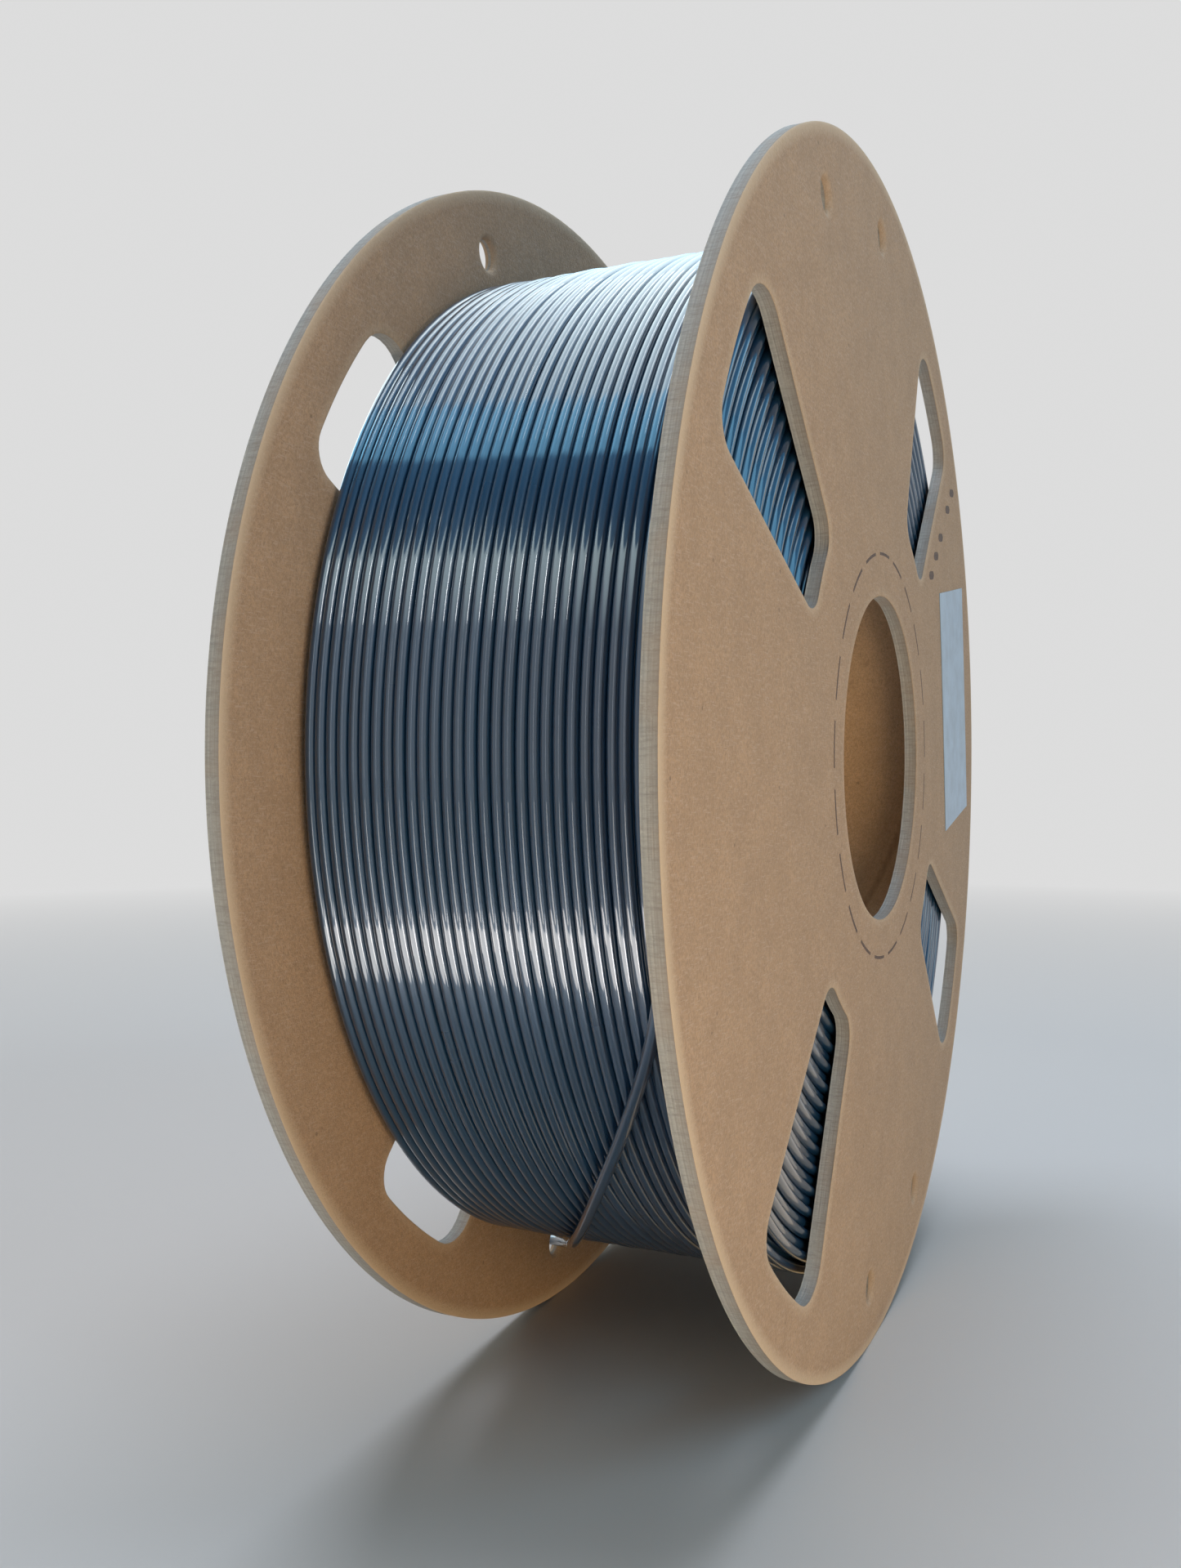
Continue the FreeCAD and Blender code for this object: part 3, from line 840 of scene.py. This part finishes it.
class SPOOL_OT_print(bpy.types.Operator):
    """Print the dashed ring and the row of ticks on the near flange"""

    bl_idname = "spool.print"
    bl_label = "Printed marks"

    def execute(self, context):
        sizes, colours = chosen(context)
        ring = sizes.dash_ring / MM
        grids = []
        for k in range(sizes.dashes):
            angles = FIRST_DASH + k * (360 / sizes.dashes) + np.linspace(0, DASH_SPAN, 9)
            edges = (ring - DASH_WIDTH / 2, ring + DASH_WIDTH / 2)
            grids.append(np.stack([np.array(PRINT_SHIFT) + polar(edge, angles) for edge in edges]))
        run = np.linspace(-1, 1, 15)
        half = TICK_HALF_WIDTH * np.sqrt(1 - (run * 0.995) ** 4)
        for radius in TICK_RADII:
            wide, lean = run * TICK_HALF_LENGTH, run * TICK_LEAN
            rows = [np.column_stack([wide, half * way + lean]) for way in (-1, 1)]
            grids.append(polar(radius, TICK_ANGLE) + np.stack(rows))
        piece = face_patch("printed_marks", grids, INK_THICK, INK_LIFT, sizes, printing_ink(colours.ink))
        return {"FINISHED"}


class SPOOL_OT_stage(bpy.types.Operator):
    """Set the floor, the soft light and the camera"""

    bl_idname = "spool.stage"
    bl_label = "Stage"

    def execute(self, context):
        sizes, colours = chosen(context)
        floor_level = -sizes.flange_diameter / 2
        floor = stage_floor(colours.floor, floor_level)
        stage_world()
        for name, place, target, size, power, colour in SOFTBOXES + STRIPS:
            lamp = bpy.data.lights.new(name, "AREA")
            lamp.shape = "RECTANGLE"
            lamp.size, lamp.size_y = size
            lamp.energy = power
            lamp.color = linear(colour)
            holder = placed(name, lamp)
            holder.location = place
            holder.rotation_mode = "QUATERNION"
            holder.rotation_quaternion = (Vector(target) - Vector(place)).to_track_quat("-Z", "Y")
            holder.visible_camera = False
            holder.visible_diffuse = name.endswith("softbox")
            holder.visible_glossy = not holder.visible_diffuse
            if name == "low_softbox":
                # It stands so near the floor that it would leave a warm patch there.
                left_dark = bpy.data.collections.new("left_dark_by_low_softbox")
                left_dark.objects.link(floor)
                holder.light_linking.receiver_collection = left_dark
                left_dark.collection_objects[0].light_linking.link_state = "EXCLUDE"
        stage_camera()
        return {"FINISHED"}


# Name, place, target, width and height in metres, watts and colour. The softboxes don't show in the gloss.
SOFTBOXES = (
    ("overhead_softbox", (-0.05, 0.15, 1.00), (0, 0, 0), (0.80, 0.60), 9.6, "#DFEAFF"),
    ("left_softbox", (-0.60, -0.90, 0.70), (0, 0, 0), (1.20, 0.50), 1.75, "#FCF8EC"),
    ("right_softbox", (0.95, -0.25, 0.62), (0, 0, 0), (0.60, 0.60), 3.4, "#A8D8FF"),
    ("low_softbox", (0.26, -0.24, -0.09), (0.03, -0.06, -0.06), (0.22, 0.08), 0.85, "#FFDDAC"),
)
# The strips and cards show in the gloss alone, as the lines and bands of light along the winding.
STRIPS = (
    ("ceiling_strip", (0.17, 0.08, 1.00), (0.17, 0.081, 0), (0.035, 1.05), 1.7, "#FFFFFF"),
    ("right_strip", (0.78, -0.68, 0.58), (0, 0, 0), (0.09, 0.24), 1.75, "#FFFFFF"),
    ("front_strip", (0.03, -1.20, 0.22), (0.03, 0, 0.22), (0.06, 0.60), 0.45, "#FFFFFF"),
    ("floor_strip", (0.01, -0.45, -0.097), (0.01, -0.449, 0.2), (0.04, 0.50), 0.42, "#FFF4E6"),
    ("floor_card", (0.0, -0.166, -0.097), (0, -0.165, 0.2), (0.22, 0.046), 0.20, "#FFF8F0"),
    ("floor_card_left", (-0.155, -0.130, -0.097), (-0.154, -0.1285, 0.2), (0.13, 0.046), 0.12, "#FFF8F0"),
    ("floor_card_right", (0.058, 0.030, -0.097), (0.058, 0.031, 0.2), (0.07, 0.20), 0.018, "#FFD79A"),
    ("floor_glint", (0.064, -0.152, -0.096), (0.064, -0.151, 0.2), (0.016, 0.055), 0.05, "#FFF8F0"),
)
BACKDROP = 0.72  # the backdrop's strength
EVEN_LIGHT = 0.18  # what it adds to the light on the object
FLOOR_RADIUS = 3.0  # in metres
FLOOR_FADE = (300, 900)  # where the floor turns into the backdrop, in mm from its middle


def stage_floor(colour, level):
    """A plain pale floor that fades into the backdrop's tone far from the spool."""
    mesh = bpy.data.meshes.new("stage_floor")
    steps = 96
    ring = [polar(FLOOR_RADIUS, 360 * i / steps) for i in range(steps)]
    mesh.from_pydata([(y, z, level) for y, z in ring], [], [tuple(range(steps))])
    floor = placed("stage_floor", mesh)
    material, tree, shader, spot = new_finish("stage_floor_paint", 0.9)
    shader.inputs["Base Color"].default_value = shade(colour)
    shader.inputs["Specular IOR Level"].default_value = 0.2
    away = add(tree, "ShaderNodeVectorMath", {0: spot}, operation="LENGTH").outputs["Value"]
    glow = add(tree, "ShaderNodeEmission", {"Color": (1, 1, 1, 1), "Strength": BACKDROP})
    far = add(tree, "ShaderNodeMapRange", {0: away, 1: FLOOR_FADE[0], 2: FLOOR_FADE[1]})
    both = {0: far.outputs["Result"], 1: shader.outputs["BSDF"], 2: glow.outputs["Emission"]}
    blend = add(tree, "ShaderNodeMixShader", both)
    out = next(node for node in tree.nodes if node.type == "OUTPUT_MATERIAL")
    tree.links.new(blend.outputs["Shader"], out.inputs["Surface"])
    mesh.materials.append(material)
    return floor


# What the gloss mirrors above the floor, from front to back: where each tone starts and has taken over, as Y
# over height bent back at the sides, and the tone in parts of the backdrop's. They are a window, a dark wall,
# blue sky, a skylight that turns to sky at the right, by X over height, and sky that fades to a dull wall.
SKYLIGHT = (3.3, 3.9, 4.1)
OVERHEAD = (
    (-2.20, -1.20, (4.0, 4.7, 4.6)),
    (-1.14, -1.09, (0.06, 0.16, 0.30)),
    (-0.51, -0.47, (1.15, 2.9, 4.3)),
    (-0.21, -0.18, SKYLIGHT),
    (0.60, 1.60, (1.2, 2.2, 3.0)),
    (1.60, 2.60, (0.85, 0.78, 0.66)),
)
SIDE_SKY = (0.14, 0.46, 0.85)
SKYLIGHT_SIDE = (0.42, 0.58)
BENT_BACK = -0.39
LEAST_HEIGHT = 0.03


def stage_world():
    """A plain pale backdrop, and a weaker even light on the object."""
    world = bpy.data.worlds.new("studio")
    world.use_nodes = True
    tree = world.node_tree
    tree.nodes.clear()
    path = add(tree, "ShaderNodeLightPath").outputs
    aim = add(tree, "ShaderNodeTexCoord").outputs["Generated"]
    part = add(tree, "ShaderNodeSeparateXYZ", {"Vector": aim}).outputs
    height = add(tree, "ShaderNodeMath", {0: part["Z"], 1: LEAST_HEIGHT}, operation="MAXIMUM").outputs[0]
    across, along = (
        add(tree, "ShaderNodeMath", {0: part[way], 1: height}, operation="DIVIDE").outputs[0] for way in "XY"
    )
    square = add(tree, "ShaderNodeMath", {0: across, 1: 2.0}, operation="POWER").outputs[0]
    bent = {0: square, 1: BENT_BACK, 2: along}
    place = add(tree, "ShaderNodeMath", bent, operation="MULTIPLY_ADD").outputs[0]
    skylight = stained(tree, (*SKYLIGHT, 1), (*SIDE_SKY, 1), across, SKYLIGHT_SIDE)
    colour = (1, 1, 1, 1)
    for start, stop, tone in OVERHEAD:
        over = skylight if tone is SKYLIGHT else (*tone, 1)
        colour = stained(tree, colour, over, place, (start, stop))
    glossy = path["Is Glossy Ray"]
    mirrored = stained(tree, (1, 1, 1, 1), colour, glossy, (0.0, 1.0))
    seen = glossy
    for kind in ("Is Camera Ray", "Is Transmission Ray"):
        seen = add(tree, "ShaderNodeMath", {0: path[kind], 1: seen}, operation="MAXIMUM").outputs[0]
    strength = add(tree, "ShaderNodeMapRange", {"Value": seen, "To Min": EVEN_LIGHT, "To Max": BACKDROP})
    shine = {"Color": mirrored, "Strength": strength.outputs["Result"]}
    light = add(tree, "ShaderNodeBackground", shine)
    add(tree, "ShaderNodeOutputWorld", {"Surface": light.outputs["Background"]})
    bpy.context.scene.world = world


# The photograph's camera, fitted to both rims: yaw, pitch and roll in radians, the focal length and the
# picture's height in pixels, and its place in metres.
CAMERA_TURN = (-0.4301, -0.0184, -0.0018)
FOCAL_PIXELS, PICTURE_HEIGHT = 1680.86, 1919
CAMERA_PLACE = (0.08401, -0.23446, 0.0)


def stage_camera():
    """Set the photograph's camera, and its plain view of colours."""
    yaw, pitch, roll = CAMERA_TURN
    look = Vector((math.sin(yaw) * math.cos(pitch), math.cos(yaw) * math.cos(pitch), math.sin(pitch)))
    right = Vector((math.cos(yaw), -math.sin(yaw), 0))
    up = right.cross(look)
    right, up = right * math.cos(roll) + up * math.sin(roll), up * math.cos(roll) - right * math.sin(roll)
    data = bpy.data.cameras.new("photo_camera")
    data.sensor_width = 36.0
    data.lens = data.sensor_width * FOCAL_PIXELS / PICTURE_HEIGHT
    data.clip_start, data.clip_end = 0.01, 20.0
    camera = placed("photo_camera", data)
    turn = Matrix((right, up, -look)).transposed()
    camera.matrix_world = Matrix.Translation(CAMERA_PLACE) @ turn.to_4x4()
    bpy.context.scene.camera = camera
    bpy.context.scene.view_settings.view_transform = "Standard"


class SPOOL_PT_panel(bpy.types.Panel):
    """The spool's sizes, colours and steps"""

    bl_idname = "SPOOL_PT_panel"
    bl_label = "Filament Spool"
    bl_space_type = "VIEW_3D"
    bl_region_type = "UI"
    bl_category = "Spool"

    def draw(self, context):
        for operator in OPERATORS:
            self.layout.operator(operator.bl_idname)
        for group in (context.scene.spool_sizes, context.scene.spool_colours):
            column = self.layout.column(align=True)
            for name in group.bl_rna.properties.keys():
                if name not in ("rna_type", "name"):
                    column.prop(group, name)


PIECES = (SPOOL_OT_flanges, SPOOL_OT_tube, SPOOL_OT_winding, SPOOL_OT_end, SPOOL_OT_label, SPOOL_OT_print)
OPERATORS = (*PIECES, SPOOL_OT_stage)
CLASSES = (SpoolSizes, SpoolColours, *OPERATORS, SPOOL_PT_panel)


def register():
    for part in CLASSES:
        bpy.utils.register_class(part)
    bpy.types.Scene.spool_sizes = PointerProperty(type=SpoolSizes)
    bpy.types.Scene.spool_colours = PointerProperty(type=SpoolColours)


def unregister():
    del bpy.types.Scene.spool_colours
    del bpy.types.Scene.spool_sizes
    for part in reversed(CLASSES):
        bpy.utils.unregister_class(part)


def main():
    register()
    for name in ("flanges", "tube", "winding", "end", "label", "print", "stage"):
        getattr(bpy.ops.spool, name)()


if __name__ == "__main__":
    main()
